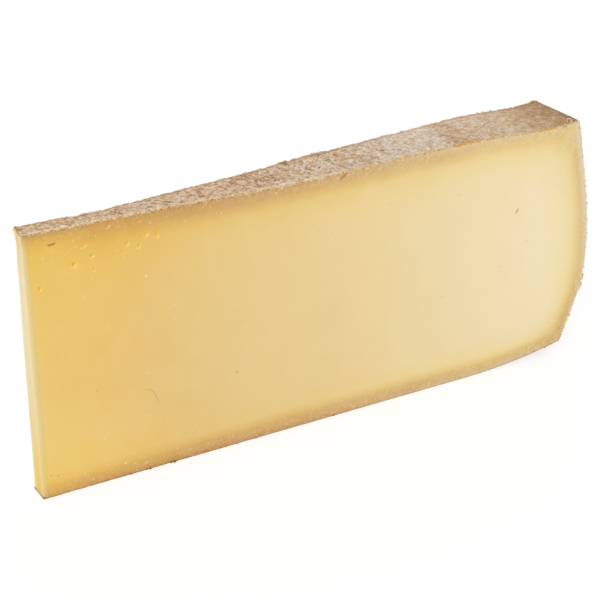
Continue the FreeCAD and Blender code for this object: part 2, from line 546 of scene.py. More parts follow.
# The rind from the tip to the heel: share of the length, colour
RIND_LENGTHWAYS = (
    (0.04, 199, 158, 107), (0.13, 196, 156, 112), (0.22, 201, 167, 128), (0.30, 204, 165, 118),
    (0.39, 195, 155, 108), (0.48, 201, 172, 136), (0.57, 200, 171, 139), (0.64, 211, 190, 168),
    (0.71, 218, 200, 182), (0.75, 202, 170, 136), (0.80, 209, 180, 147), (0.86, 205, 179, 147),
    (0.91, 190, 153, 108), (0.96, 166, 127, 80),
)
# Single spots on the top: (along, across, half length, half width, shade, strength)
RIND_SPOTS = (
    (14.9, -0.58, 1.4, 1.0, (248, 244, 238), 0.85),
    (25.0, 0.60, 2.4, 1.4, (168, 136, 104), 0.60),
    (90.1, 0.10, 1.1, 1.0, (112, 80, 50), 0.80),
    (87.7, 0.62, 0.7, 3.6, (124, 96, 66), 0.60),
    (105.0, 0.78, 1.8, 2.0, (138, 108, 78), 0.75),
    (124.8, 0.46, 1.1, 1.9, (194, 118, 38), 1.00),
    (147.5, -0.35, 1.2, 1.2, (150, 120, 100), 0.60),
    (141.0, -0.20, 1.0, 1.2, (156, 122, 96), 0.50),
    (136.5, -0.55, 1.2, 1.1, (150, 116, 90), 0.50),
)
# Where the rind's cut edge is a strong line of colour: start, end, shade
ORANGE_RUNS = ((168, 186, (214, 158, 62)), (203, 214.5, (218, 170, 72)))
# The crumb of the cut rind, from its hollows to its ridges
TIP_CRUMB = ((0.32, 150, 104, 54), (0.44, 188, 142, 82), (0.56, 216, 182, 130), (0.70, 242, 224, 190))
TOP_CRUMB = ((0.30, 174, 122, 58), (0.42, 202, 154, 84), (0.55, 226, 190, 128), (0.70, 246, 230, 192))
HEEL_CRUMB = ((0.30, 214, 188, 146), (0.50, 232, 213, 174), (0.70, 244, 230, 198))
FOOT_CRUMB = ((0.30, 142, 92, 36), (0.50, 188, 132, 62), (0.70, 216, 166, 94))


def add_orange_runs(look, shade):
    """The shade of the rind's cut edge, with its orange runs."""
    for start, end, orange in ORANGE_RUNS:
        run = look.product(("from_tip", start - 1, start + 1), ("from_tip", end + 1, end - 1), 0.95)
        shade = look.mix(run, shade, orange)
    return shade


def rind_look():
    """Washed, brushed rind: tan and coarse at the tip, powdered in the middle, darker at the heel, with
    painted shade in its troughs and on the heel's top corner.
    """
    look = Look("rind", "from_tip", "relief", "from_cut")

    # Three shades along the rind: its troughs, its middle and its powdered ridges. The relief's troughs
    # are painted darker and its ridges paler, partly the rind's own colour and partly painted shade and
    # painted highlight
    along = look.total("from_tip", (look.noise(5, 4, 0.6), 0.3, 0.7, -7, 7))
    share = look.spread(along, 0, 230)
    middle = look.ramp(share, RIND_LENGTHWAYS)
    trough_colour_and_shade = look.mix(1, middle, factor(0.45, 0.33, 0.18), "MULTIPLY")
    ridge_powder_and_highlight = look.mix(0.62, middle, (249, 239, 227))
    calmer = look.spread(share, 0.86, 0.96, 1, 0.45)
    contrast = look.product((share, 0.62, 0.92, 1, 0.70), calmer)
    wisps = look.noise(1.9, 5, 0.68, 1, place=look.place((1.35, 1, 1)))
    patches = look.spread(look.noise(4, 3, 0.6, 0.6), 0.25, 0.75, -0.08, 0.08)
    tone = look.total(look.product("relief", 0.42), look.product(wisps, 0.58), patches)
    look.body = middle
    look.cover(trough_colour_and_shade, (tone, 0.49, 0.36), contrast)
    look.cover(ridge_powder_and_highlight, (tone, 0.50, 0.62), contrast)

    # Golden-tan flecks and lilac powder, each at its own places
    fleck = look.noise(1.5, 4, 0.6, 0.5)
    tan = look.mix(1, middle, factor(0.98, 0.76, 0.43), "MULTIPLY")
    look.cover(tan, (fleck, 0.52, 0.62), (share, 0.45, 0.60, 0.90, 0.75), calmer)
    dust = look.mix((share, 0.36, 0.50), (230, 219, 205), (229, 220, 217))
    look.cover(look.mix(0.55, middle, dust), (fleck, 0.47, 0.36, 0, 0.80), calmer)

    # Fine pores and fine dust
    fine = look.noise(0.5, 3, 0.7)
    look.cover(trough_colour_and_shade, (fine, 0.53, 0.70, 0, 0.66), calmer)
    look.cover(ridge_powder_and_highlight, (fine, 0.47, 0.32, 0, 0.50), calmer)

    for spot_along, side, half_length, half_breadth, shade, strength in RIND_SPOTS:
        centre = (TIP_X + spot_along, side * half_width(spot_along), WHEEL_HEIGHT)
        look.cover(shade, look.spot(centre, (half_length, half_breadth, 9), fleck), strength)

    # Browner in a band across the top, from about 163 to 178 mm along
    look.tint(0.86, 0.81, 0.74, (along, 163, 169), (along, 178, 172), ("across", 9, -6, 0.35, 1))

    # The heel, which the cloth band held, is browner, its top corner carries a painted shade, and the
    # foot is darker still
    look.cover((186, 152, 112), ("height", 97, 90), ("from_tip", 221, 226), 0.6)
    # Painted shade: a dark olive band along the heel's top corner, where the top turns down away from
    # the lamps
    wander = look.spread(look.noise(1.6, 4, 0.7), 0.3, 0.7, -1.4, 1.4)
    painted_shade_edge = look.total("from_tip", wander, ("across", 10, -10, 0, 2))
    look.cover((122, 95, 50), (painted_shade_edge, 224, 227.5), ("height", 93, 98, 0.15, 0.85))
    look.cover((158, 118, 76), ("height", 8, 3), 0.5)

    # Along the cuts: a dark line at the back, a pale lip in front, and golden crumb at the edge
    crumb = look.noise(0.8, 3, 0.6)
    ragged = look.total("from_cut", (crumb, 0.3, 0.7, -0.45, 0.45))
    look.cover(trough_colour_and_shade, (ragged, 0.5, 1), (ragged, 1.9, 1.2), ("across", 0, 2, 0, 0.42))
    lip = look.product((ragged, 2.2, 1.2), ("from_tip", 130, 110), ("across", 0, -2, 0, 0.8))
    look.cover((240, 224, 194), lip, (look.noise(2.2, 3, 0.6), 0.44, 0.54, 0.15, 1))
    tip_crumb = look.mix((crumb, 0.40, 0.60), (172, 128, 74), (238, 214, 170))
    heel_crumb = look.mix((crumb, 0.38, 0.58), (188, 146, 92), (236, 212, 162))
    golden = look.mix((share, 0.25, 0.55), tip_crumb, heel_crumb)
    look.cover(add_orange_runs(look, golden), (ragged, 0.75, 0.25, 0, 0.8))

    normal = look.bump(look.total(fine, wisps), 0.16)
    return look.finish(Roughness=look.spread(fine, 0.3, 0.7, 0.95, 0.80), IOR=1.4, Normal=normal)


def rind_cut_look():
    """The rind where the knife went through it: golden crumb, pale at the heel, dark at the foot."""
    look = Look("rind_cut", "from_tip")
    crumb = look.noise(0.8, 3, 0.6)
    near_tip, beyond = look.ramp(crumb, TIP_CRUMB), look.ramp(crumb, TOP_CRUMB)
    look.body = add_orange_runs(look, look.mix(("from_tip", 60, 125), near_tip, beyond))
    look.cover(look.ramp(crumb, HEEL_CRUMB), ("from_tip", 224.5, 226.5))
    foot = look.mix(("from_tip", 40, 150, 0, 0.6), look.ramp(crumb, FOOT_CRUMB), (216, 176, 110))
    foot = look.mix(("from_tip", 16, 4, 0, 0.7), foot, (136, 88, 34))
    look.cover(foot, ("height", 9, 3))
    return look.finish(Roughness=0.85, IOR=1.4, Normal=look.bump(crumb, 0.2))


def plain_look(name, shade, other, size, roughness, foot_shade=None):
    """A small crumb's or speck's material, mottled between two shades."""
    look = Look(name)
    mottle = look.noise(size, 3, 0.6)
    look.body = look.mix((mottle, 0.35, 0.65), shade, other)
    if foot_shade:
        look.cover(foot_shade, ("height", 4, 2))
    roughness = look.spread(mottle, 0.3, 0.7, roughness, roughness - 0.1)
    return look.finish(Roughness=roughness, IOR=1.45, Normal=look.bump(mottle, 0.05))


# ---- The rind ----

TOP_STEP = 0.36  # mesh spacing along the rind
HEEL_STEP = 0.42
FOOT_STEP = 0.80
RIND_COLUMNS = 72
RIND_THICKNESS = 0.60
RING_SHARES = (0.35, 0.75, 1)  # rings down the rind's cut walls, as a share of its thickness
CORNER_SOFTNESS = 0.4  # length over which the section's corners are smoothed
HEEL_LENGTH = distance_along(HEEL_LINE)[-1]
TIP_SLANT = 1.1  # how much further back the rind ends at the back of the tip than at the front
TIP_CORNER = 0.4  # radius of the rind's back corner at the tip
TIP_FADE = 4  # how far from the tip this pushes the rind's mesh back
# Single dents and lumps in the top: (along, across, half length, half width, height)
RIND_MARKS = (
    (22.8, 1.00, 2.4, 2.2, -0.75),
    (25.6, 0.55, 1.4, 1.2, -0.30),
    (48.5, -0.45, 2.6, 0.9, 0.30),
    (90.1, 0.10, 0.9, 0.8, -0.50),
    (87.7, 0.62, 0.6, 3.4, -0.45),
    (104.0, 0.97, 1.2, 1.2, 0.30),
    (105.9, 0.95, 1.0, 1.2, 0.45),
    (107.8, 1.00, 0.9, 1.6, -1.00),
    (119.2, -0.97, 1.4, 0.8, 0.30),
    (34.0, -0.95, 3.0, 1.0, 0.25),
    (52.0, -0.95, 2.6, 1.0, 0.30),
    (223.4, 0.96, 1.4, 1.0, 0.40),
)


def section_outline():
    """The rind's outline (along, height) from the tip's top, round the heel, to the tip's foot."""
    along = np.linspace(0, TOP_END, 1200)
    top = np.stack([along, top_height(along, 0)], axis=-1)
    heel = HEEL_LINE[::-1].copy()
    heel[:, 1] += (top[-1, 1] - WHEEL_HEIGHT) * smooth_step(heel[:, 1], 80, WHEEL_HEIGHT)
    foot_along = np.linspace(FOOT_END, 0, 1200)
    foot = np.stack([foot_along, foot_height(foot_along)], axis=-1)
    return np.concatenate([top, heel[1:], foot[1:]])


def resample(line):
    """The outline with the rind's mesh spacing, and each point's distance along it."""
    travelled = distance_along(line)
    places = [np.zeros(1)]
    for length, step in ((TOP_END, TOP_STEP), (HEEL_LENGTH, HEEL_STEP), (FOOT_END, FOOT_STEP)):
        count = round(length / step)
        places.append(places[-1][-1] + length * np.arange(1, count + 1) / count)
    places = np.concatenate(places) * travelled[-1] / places[-1][-1]
    return np.stack([np.interp(places, travelled, line[:, k]) for k in (0, 1)], axis=-1), places


def soften(line, reach):
    """The line with its corners rounded by averaging each point with its neighbours."""
    padded = np.concatenate([np.repeat(line[:1], reach, 0), line, np.repeat(line[-1:], reach, 0)])
    soft = sum(padded[k : k + len(line)] for k in range(2 * reach + 1)) / (2 * reach + 1)
    soft[:reach], soft[-reach:] = line[:reach], line[-reach:]
    return soft


def tip_setback(across, height):
    """How far the rind's end lies behind the tip cut: it slants back a little at the top."""
    slant = TIP_SLANT * smooth_step(height, 50, WHEEL_HEIGHT) * (1 + across) / 2
    from_corner = (1 - np.abs(across)) * half_width(0)
    front_radius = TIP_CORNER + (FRONT_EDGE_RADIUS - TIP_CORNER) * smooth_step(height, 1, 8)
    radius = np.where(across < 0, front_radius, TIP_CORNER)
    inset = np.clip(radius - from_corner, 0, None)
    return slant + radius - np.sqrt(radius**2 - inset**2)


def mark_height(along, across):
    """How far the single dents and lumps raise the top, in millimetres."""
    total = 0
    for centre, side, half_length, half_breadth, rise in RIND_MARKS:
        aside = (across - side) * half_width(centre) / half_breadth
        reach = np.hypot((along - centre) / half_length, aside)
        total = total + rise * (1 - smooth_step(reach, 0.4, 1))
    return total


def edge_height(along, side):
    """Height of the top rind's edge on one side: -1 is the front, 1 the back."""
    return float(top_height(along, side) + mark_height(along, side))


def rind_relief(points, along, across, on_foot):
    """The rind's relief: how far it stands out, in millimetres, and its small forms from 0 to 1."""
    coarse = 1 - 0.40 * smooth_step(along, 100, 150) - 0.20 * smooth_step(along, 170, 210)
    swell = noise_at(points, 12, 3.1, 2)
    folds = noise_at(points, (1.6, 1.3, 1.6), 7.7, 2)
    worms = 1 - np.clip(np.abs(folds) / 0.30, 0, 1)
    pits = smooth_step(noise_at(points, 1.2, 12.9), 0.10, 0.50)
    streaks = noise_at(points, (2.2, 0.8, 2.2), 21.3, 2)
    fine = noise_at(points, 0.65, 31)
    small = coarse * (0.26 * worms - 0.30 * pits + 0.16 * streaks + 0.18 * fine)
    height = 0.09 * swell + 0.42 * small
    height = np.where(on_foot, -0.02 + 0.25 * np.minimum(height, 0), height)
    height = height + np.where(on_foot, 0, mark_height(along, across))
    return height, np.clip(0.5 + 1.3 * small, 0, 1)


def rind_grid():
    """The rind's outer face: points, section normals, small forms and distance from the cuts."""
    line, distance = resample(section_outline())
    line = soften(line, round(CORNER_SOFTNESS / TOP_STEP))
    run = np.gradient(line, axis=0)
    normal = np.stack([-run[:, 1], run[:, 0]], axis=-1)
    normal = normal / np.linalg.norm(normal, axis=1)[:, None]
    shape = (len(line), RIND_COLUMNS)
    across = np.broadcast_to(np.linspace(-1, 1, RIND_COLUMNS), shape)
    along = np.broadcast_to(line[:, :1], shape)
    height = np.broadcast_to(line[:, 1:], shape)
    along = along + tip_setback(across, height) * (1 - smooth_step(along, 0, TIP_FADE))
    tilt = top_height(along, across) - top_height(along, 0)
    height = height + tilt * smooth_step(height, 80, 99)
    on_foot = np.repeat(distance > TOP_END + HEEL_LENGTH, RIND_COLUMNS)
    flat = place(along, height, across).reshape(-1, 3)
    relief, small = rind_relief(flat, along.ravel(), across.ravel(), on_foot)

    # The cut edges crumble: nicked from above and standing a little proud of the cut
    from_cut = (1 - np.abs(across)) * half_width(along)
    near_cut = np.exp(-from_cut / 0.45).ravel()
    nicks = 0.14 * noise_at(flat, 0.9, 41, 2) + 0.20 * noise_at(flat, 2.4, 42, 2)
    breaks = 0.42 * smooth_step(noise_at(flat, 4.5, 43), 0.28, 0.50)
    nicked = near_cut * np.clip(0.08 + nicks + breaks, -0.05, 0.50)
    relief = relief - np.where(on_foot, 0.2 * nicked, nicked)
    proud = near_cut * np.clip(0.05 + 0.22 * noise_at(flat, 0.9, 47, 2), -0.05, 0.18)
    proud = np.where(on_foot, 0.25 * proud, proud)
    relief, proud = relief.reshape(shape), proud.reshape(shape)
    across = across * (1 + proud / half_width(along))
    height = np.maximum(height + relief * normal[:, 1:], 0)
    outer = place(along + relief * normal[:, :1], height, across)
    return outer, normal, small, from_cut.ravel()


def make_rind(look, cut_look):
    """A closed shell over the top, heel and foot, ragged where the knife cut it."""
    outer, normal, small, from_cut = rind_grid()
    rows, columns = outer.shape[:2]
    index = np.arange(rows * columns).reshape(rows, columns)
    loop = np.concatenate([index[:-1, 0], index[-1, :-1], index[:0:-1, -1], index[0, :0:-1]])
    flat = outer.reshape(-1, 3)
    edge = flat[loop]
    section_normal = normal[loop // columns]
    inward = -np.stack([section_normal[:, 0], np.zeros(len(loop)), section_normal[:, 1]], axis=-1)
    out = np.cross(inward, np.roll(edge, -1, axis=0) - np.roll(edge, 1, axis=0))
    out /= np.linalg.norm(out, axis=1)[:, None]

    # Thinner at the foot, but thick enough under the tip to close its corner
    thickness = RIND_THICKNESS * (1 + 0.5 * noise_at(edge, 2, 53, 2))
    low = smooth_step(-edge[:, 2], -8, -4)
    under_tip = 1 - smooth_step(edge[:, 0] - TIP_X, 0.3, 1)
    under_tip *= smooth_step(edge[:, 1], -3.9, -2)
    thickness *= 1 - 0.35 * low + 0.6 * low * under_tip
    points, rings = [flat], [loop]
    for share in RING_SHARES:
        ragged = np.clip(0.04 + 0.22 * noise_at(edge, 0.8, 61 + 5 * share, 2), -0.03, 0.18)
        ragged *= 1 - 0.7 * low
        if share == 1:
            ragged = np.full(len(loop), -0.06)
        points.append(edge + inward * (thickness * share)[:, None] + out * ragged[:, None])
        rings.append(len(flat) + (len(rings) - 1) * len(loop) + np.arange(len(loop)))

    faces = [grid_faces(rows, columns)[:, ::-1]]
    for upper, lower in zip(rings[:-1], rings[1:]):
        corners = [upper, np.roll(upper, -1), np.roll(lower, -1), lower]
        faces.append(np.stack(corners, axis=-1)[:, ::-1])
    inner = rings[-1]
    front = inner[: rows - 1]
    far_end = inner[rows - 1 : rows + columns - 2]
    back = inner[rows + columns - 2 : 2 * rows + columns - 3][::-1]
    near_end = inner[2 * rows + columns - 3 :][::-1]
    strip = [front[1:-1], front[2:], back[1:-1], back[:-2]]
    faces.append(np.stack(strip, axis=-1)[:, ::-1])
    faces = np.concatenate(faces).tolist()
    faces.append([int(i) for i in [front[1], back[0], *near_end[::-1], front[0]]][::-1])
    faces.append([int(i) for i in [front[-1], *far_end, *back[-2:][::-1]]][::-1])

    points = np.concatenate(points)
    piece = new_piece("rind", points, faces, "rind", [look, cut_look])
    mesh = piece.data
    material_index = np.zeros(len(faces), np.int32)
    material_index[(rows - 1) * (columns - 1) :] = 1
    mesh.polygons.foreach_set("material_index", material_index)
    walls = len(points) - len(flat)
    set_attributes(
        mesh,
        from_tip=points[:, 0] - TIP_X,
        relief=np.concatenate([small, np.full(walls, 0.5)]),
        from_cut=np.concatenate([from_cut, np.zeros(walls)]),
    )
    mesh.set_sharp_from_angle(angle=math.radians(60))
    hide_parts(NODE)


# ---- The paste ----

PASTE_INSET = 0.30  # how far the paste's skin lies under the rind's outer face
PASTE_STEP = 1.05  # mesh spacing on the cut faces
PASTE_FINE_STEP = 0.45  # and near the rind
FINE_BORDER = 7
ARC_STEPS = 8
TIP_STEPS = 6  # even, so that the caps close in quads
BACK_RELIEF_SHIFT = 300  # so that the back cut's waves differ from the front's
KNIFE_SLANT = np.array([[0.91, 0, -0.42], [0, 1, 0], [0.42, 0, 0.91]])
EYE_SIDES = 28
# Each eye's pale rim is partly a painted highlight on one side of its mouth
EYE_RIM_AND_HIGHLIGHT = (105, 235)  # the part of each eye's mouth that has a pale rim, in degrees
# An eye's profile from outside the cut to its floor: share of its reach, share of its depth
EYE_PROFILE = (
    (1.08, -0.60), (1.00, 0.00), (0.88, 0.12), (0.74, 0.26), (0.68, 0.60), (0.50, 0.88), (0.24, 1.00),
)


def spaced(length):
    """Shares of a length, a fine step apart near both ends and the paste's step apart between."""
    line = np.linspace(0, length, int(length / PASTE_FINE_STEP) * 4)
    edge = np.minimum(line, length - line)
    coarse = smooth_step(edge, 0.3 * FINE_BORDER, FINE_BORDER)
    gap = PASTE_FINE_STEP + (PASTE_STEP - PASTE_FINE_STEP) * coarse
    pace = np.concatenate(([0], np.cumsum(np.diff(line) / gap[1:])))
    return np.interp(np.linspace(0, pace[-1], int(round(pace[-1])) + 1), pace, line) / length


def cut_path(side, radius, heel, shares):
    """One cut at one level, from the heel round the tip's worn edge to its face: (along, y)."""
    along = radius + (heel - radius) * shares
    turn = 0.5 * math.pi * np.arange(1, ARC_STEPS + 1) / ARC_STEPS
    arc_along = radius * (1 - np.sin(turn))
    arc_y = half_width(arc_along) - radius * (1 - np.cos(turn))
    path = np.stack([along, half_width(along)], axis=-1)
    path = np.concatenate([path, np.stack([arc_along, arc_y], axis=-1)])
    return path * (1, side)


def paste_lattice():
    """Points and quads of the closed paste, with plain flat cuts."""
    levels = spaced(WHEEL_HEIGHT)
    lengths = spaced(TOP_END)[::-1]
    loops = []
    for level in levels:
        heel = heel_limit(FOOT_RISE + level * (WHEEL_HEIGHT - FOOT_RISE)) - PASTE_INSET
        back_radius = np.interp(level * WHEEL_HEIGHT, *BACK_EDGE_LINE.T)
        front = cut_path(-1, FRONT_EDGE_RADIUS, heel, lengths)
        back = cut_path(1, back_radius, heel, lengths)
        face = np.linspace(front[-1], back[-1], TIP_STEPS + 2)[1:-1]
        along, y = np.concatenate([front, face, back[::-1]]).T
        share = along / heel
        low = foot_height(share * FOOT_END) + PASTE_INSET
        high = top_height(share * TOP_END, y / half_width(along)) - PASTE_INSET
        loops.append(np.stack([TIP_X + along, y, low + level * (high - low)], axis=-1))
    count = len(loops[0])
    pairs = np.arange(count // 2 - 1)
    opposite = count - 1 - pairs
    bottom = np.stack([pairs, pairs + 1, opposite - 1, opposite], axis=-1)
    top = bottom[:, ::-1] + (len(levels) - 1) * count
    sides = grid_faces(len(levels), count, closed=True)[:, FLIPPED]
    return np.concatenate(loops), np.concatenate([sides, bottom, top]).tolist()


def eye_mouth(angle, number):
    """The numbered eye's mouth, before it is stretched: a wavy circle in the XZ plane."""
    circle = np.stack([np.cos(angle), np.zeros(len(angle)), np.sin(angle)], axis=-1)
    return circle * (1 + 0.22 * noise_at(circle, 1.1, 3 * number + 1))[:, None]


def eye_rim(number):
    """(along, height) points round the pale part of the numbered eye's mouth, which is partly a painted
    highlight.
    """
    along, below, half_long, half_high, tilt, _ = EYES[number]
    angle = np.radians(np.linspace(*EYE_RIM_AND_HIGHLIGHT, 9) + 18 * (number % 4))
    mouth = eye_mouth(angle, number) * (half_long, 0, half_high)
    turned = mouth @ np.array(Matrix.Rotation(math.radians(-tilt), 3, "Y")).T
    return turned[:, [0, 2]] * 0.97 + (along, WHEEL_HEIGHT - below)


def eye_bodies():
    """Points and faces of all the closed bodies that the eyes are cut with."""
    points, faces = [], []
    angle = np.linspace(0, 2 * math.pi, EYE_SIDES, endpoint=False)
    for number, (along, below, half_long, half_high, tilt, depth) in enumerate(EYES):
        mouth = eye_mouth(angle, number)
        rings = []
        for reach, share in EYE_PROFILE:
            rings.append(mouth * reach * (half_long, 0, half_high) + (0, share * depth, 0))
        body = np.concatenate([*rings, [[0, 1.02 * depth, 0]]])
        turn = Matrix.Rotation(-HALF_ANGLE, 3, "Z") @ Matrix.Rotation(math.radians(-tilt), 3, "Y")
        centre = (TIP_X + along, -half_width(along), WHEEL_HEIGHT - below)
        points.append(body @ np.array(turn).T + centre)
        first = number * len(body)
        floor = first + len(body) - 1
        last = floor - EYE_SIDES
        faces += grid_faces(len(rings), EYE_SIDES, first, closed=True)[:, FLIPPED].tolist()
        faces += [[last + k, floor, last + (k + 1) % EYE_SIDES] for k in range(EYE_SIDES)]
        faces.append([first + k for k in range(EYE_SIDES)])
    return np.concatenate(points), faces


def distance_to(line, points):
    """Shortest distance from each (along, height) point to the line."""
    start, run = line[:-1], np.diff(line, axis=0)
    squared = (run**2).sum(axis=1)
    nearest = np.empty(len(points))
    for first in range(0, len(points), 4000):
        part = points[first : first + 4000, None, :] - start[None]
        share = np.clip((part * run[None]).sum(axis=2) / squared[None], 0, 1)
        gap = part - share[..., None] * run[None]
        nearest[first : first + 4000] = np.sqrt((gap**2).sum(axis=2).min(axis=1))
    return nearest


def eye_amounts(along, height, inside):
    """For each point, how deep in an eye it is and how much it is an eye's rim, from 0 to 1."""
    deep, rim = np.zeros((2, len(along)))
    for eye_along, below, half_long, half_high, _, depth in EYES:
        reach = 1.5 * max(half_long, half_high)
        near = np.hypot(along - eye_along, height - WHEEL_HEIGHT + below) < reach
        near &= (inside > 0.01) & (inside < 2 * depth)
        deep = np.where(near, smooth_step(inside, 0.20 * depth, 0.55 * depth), deep)
        rim = np.where(near, 1 - smooth_step(inside, 0.20 * depth, 0.50 * depth), rim)
    return deep, rim


def cut_relief(along, height):
    """The cut's slight waves and the knife's drag, in millimetres."""
    flat = np.stack([along, np.zeros_like(along), height], axis=-1)
    wave = noise_at(flat, 34, 71, 2)
    drag = noise_at(flat @ KNIFE_SLANT, (40, 1, 2.6), 73, 2)
    return 0.16 * wave + 0.02 * drag


def cut_eyes(piece):
    """Cuts the eyes into the piece's mesh."""
    cutter_mesh = new_mesh("eye_bodies", *eye_bodies())
    cutter = new_object("eye_bodies", cutter_mesh)
    cut = piece.modifiers.new("eyes", "BOOLEAN")
    cut.operation = "DIFFERENCE"
    cut.solver = "MANIFOLD"
    cut.object = cutter
    bpy.context.view_layer.update()
    evaluated = piece.evaluated_get(bpy.context.evaluated_depsgraph_get())
    mesh = bpy.data.meshes.new_from_object(evaluated)
    piece.modifiers.clear()
    old_mesh, piece.data = piece.data, mesh
    bpy.data.objects.remove(cutter)
    bpy.data.meshes.remove(cutter_mesh)
    bpy.data.meshes.remove(old_mesh)


def make_paste(look):
    """The paste, with its eyes cut in and its cuts slightly uneven."""
    piece = new_piece("paste", *paste_lattice(), "paste", [look])
    cut_eyes(piece)
    mesh = piece.data
    points = np.empty(len(mesh.vertices) * 3)
    mesh.vertices.foreach_get("co", points)
    points = points.reshape(-1, 3) / MM
    along, height = points[:, 0] - TIP_X, points[:, 2]
    from_front = points[:, 1] + half_width(along)
    flat = np.stack([along, height], axis=-1)
    deep, rim = eye_amounts(along, height, from_front)
    under_rind = distance_to(section_outline()[::12], flat)
    under_heel = distance_to(HEEL_LINE[::3], flat)
    set_attributes(
        mesh, from_tip=along, under_rind=under_rind, under_heel=under_heel, eye=deep, rim=rim
    )

    width = 2 * half_width(along)
    front_relief = cut_relief(along, height) * (1 - smooth_step(from_front, 2, 3.5))
    back_relief = cut_relief(along + BACK_RELIEF_SHIFT, height)
    back_relief = back_relief * smooth_step(from_front, width - 3.5, width - 2)
    points[:, 1] += back_relief - front_relief
    mesh.vertices.foreach_set("co", (points * MM).ravel())
    mesh.polygons.foreach_set("use_smooth", [True] * len(mesh.polygons))
    mesh.update()
    mesh.set_sharp_from_angle(angle=math.radians(40))
    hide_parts(NODE)


# ---- Crumbs, crystals and specks ----

CRYSTAL_COUNT = 420
SPECK_COUNT = 60
CRUMB_COUNT = 520
LONG_CRUMB_COUNT = 210
TIP_LINT_AND_GLINT_COUNT = 26
LINT_COUNT = 36
HEEL_STROKE_COUNT = 60
FOOT_GRAIN_COUNT = 70
LUMP_UNEVENNESS = 0.35
THREAD_SIDES = 6
# Marks on the front cut that stand out: (along, height, size)
CRYSTALS = (
    (42.4, 76.2, 0.40), (27.8, 60.1, 0.26), (79.8, 47.8, 0.36), (41.7, 39.0, 0.30),
    (23.9, 17.4, 0.30), (48.1, 17.7, 0.30), (12.5, 4.1, 0.38), (31.2, 5.3, 0.34),
    (41.1, 9.0, 0.30), (191.1, 92.7, 0.40), (192.5, 13.2, 0.30), (158.9, 14.8, 0.28),
    (143.5, 35.7, 0.26), (146.0, 90.1, 0.24), (140.4, 88.5, 0.22), (169.0, 88.0, 0.26),
    (225.9, 65.7, 0.30), (20.0, 73.5, 0.28),
)
SPECKS = (
    (203.6, 54.1, 0.26), (191.7, 45.8, 0.24), (170.4, 80.2, 0.22), (139.8, 83.1, 0.28),
    (164.8, 39.0, 0.24), (217.9, 15.0, 0.26), (76.0, 30.1, 0.34), (22.4, 37.3, 0.28),
    (42.2, 32.6, 0.22), (36.3, 36.1, 0.20), (3.3, 8.9, 0.26), (5.8, 8.1, 0.26),
)
# Crystals on the tip's face: (across in millimetres, height, size)
TIP_CRYSTALS = ((-2.9, 91, 0.42), (-3, 86.4, 0.28), (-1.6, 79, 0.20))
# White flakes on the tip's worn front edge, partly painted glints on its rounding: (turn round the edge,
# height, half breadth, half height)
TIP_FLAKES_AND_GLINTS = (
    (1.2, 96.2, 0.30, 0.55), (1.0, 94.6, 0.22, 0.40), (1.3, 92.8, 0.18, 0.30),
    (1.1, 89.5, 0.38, 0.50), (0.8, 88.8, 0.26, 0.25), (1.2, 86.2, 0.26, 0.45),
    (0.9, 85.4, 0.20, 0.35), (0.8, 82.7, 0.28, 0.50), (0.6, 81.8, 0.16, 0.30),
)
# Burrs of rind that stand out at the heel's front edge: (height, size)
HEEL_BURRS = (
    (32.6, 0.60), (31.4, 0.75), (28.8, 0.70), (27.4, 0.80), (26.2, 0.55), (57.0, 0.24),
    (64.0, 0.28), (74.0, 0.24), (15.5, 0.26),
)
# Burrs at the top rind's back edge near the heel, and dark burrs at the front cut's foot: (along, size)
TOP_BURRS = ((222.4, 0.45), (223.6, 0.35), (225, 0.42))
FOOT_BURRS = ((50, 0.66), (48.6, 0.36), (40.4, 0.46), (39, 0.28), (33, 0.26))
# Pale lumps of a flap of rind that hangs over the front cut's top, partly painted highlights on the
# flap: (along, size)
TOP_FLAKES_AND_HIGHLIGHTS = ((121.2, 0.40), (122, 0.34))
# Fine strokes on the front cut: half thickness, then the (along, height) points they pass
PALE_STROKES = (
    (0.13, (38.3, 2.5), (39.2, 3.2), (40.5, 3.2)),
    (0.12, (55.6, 2.7), (56.4, 3.5), (57.2, 3.3)),
    (0.11, (34.2, 3.8), (35.8, 4.5)),
    (0.12, (29.0, 96.2), (30.6, 97.2)),
    (0.07, (14.0, 90.4), (14.9, 90.7), (15.3, 91.3)),
    (0.06, (16.2, 91.6), (16.9, 92.3)),
    (0.07, (9.8, 92.2), (10.4, 92.8)),
    (0.05, (126.7, 31.0), (147.0, 49.2), (167.0, 66.6)),
    (0.05, (157.0, 55.0), (166.0, 63.5)),
)
YELLOW_STROKES = (
    (0.11, (13.7, 77.4), (18.9, 78.9), (22.0, 80.0), (24.5, 80.6)),
    (0.14, (0.9, 78.6), (2.6, 79.3), (4.3, 79.9)),
)
# The second brown stroke is a flap of rind over the front cut's top, its brown partly a painted shadow
# under the flap
BROWN_STROKES_AND_SHADOW = (
    (0.24, (197.3, 66.8), (198.1, 67.9), (198.7, 69.1)),
    (0.42, (118.4, 96.2), (119.8, 97.4), (121.6, 98.5)),
)
DARK_STROKES = (
    (0.34, (8.4, 94.9), (9.9, 94.9), (11.4, 95.2)),
    (0.06, (39.7, 33.1), (42.6, 31.4), (44.3, 28.6), (44.8, 25.6)),
)
# The eyes' pale rims are partly painted highlights
RIM_AND_HIGHLIGHT_STROKES = (0.07, 0.10, 0.085)  # half thicknesses of the eyes' rims, in turn
# The (along, across) points that the curl at the heel's front corner passes
CURL = ((220.2, -0.95), (221.4, -0.82), (222.9, -0.74), (223.6, -0.80), (222.9, -0.89), (221.2, -0.96))
# Shreds on the top rind, the straw's pieces and the curl: half thickness, then (along, across)
SHREDS = (
    (0.32, (190.9, 0.20), (188.9, 0.06), (187.3, -0.05)),
    (0.25, (187.1, -0.06), (184.4, -0.20), (181.9, -0.32)),
    (0.22, (181.5, -0.34), (177.3, -0.51), (174.2, -0.66)),
    (0.24, *CURL),
)


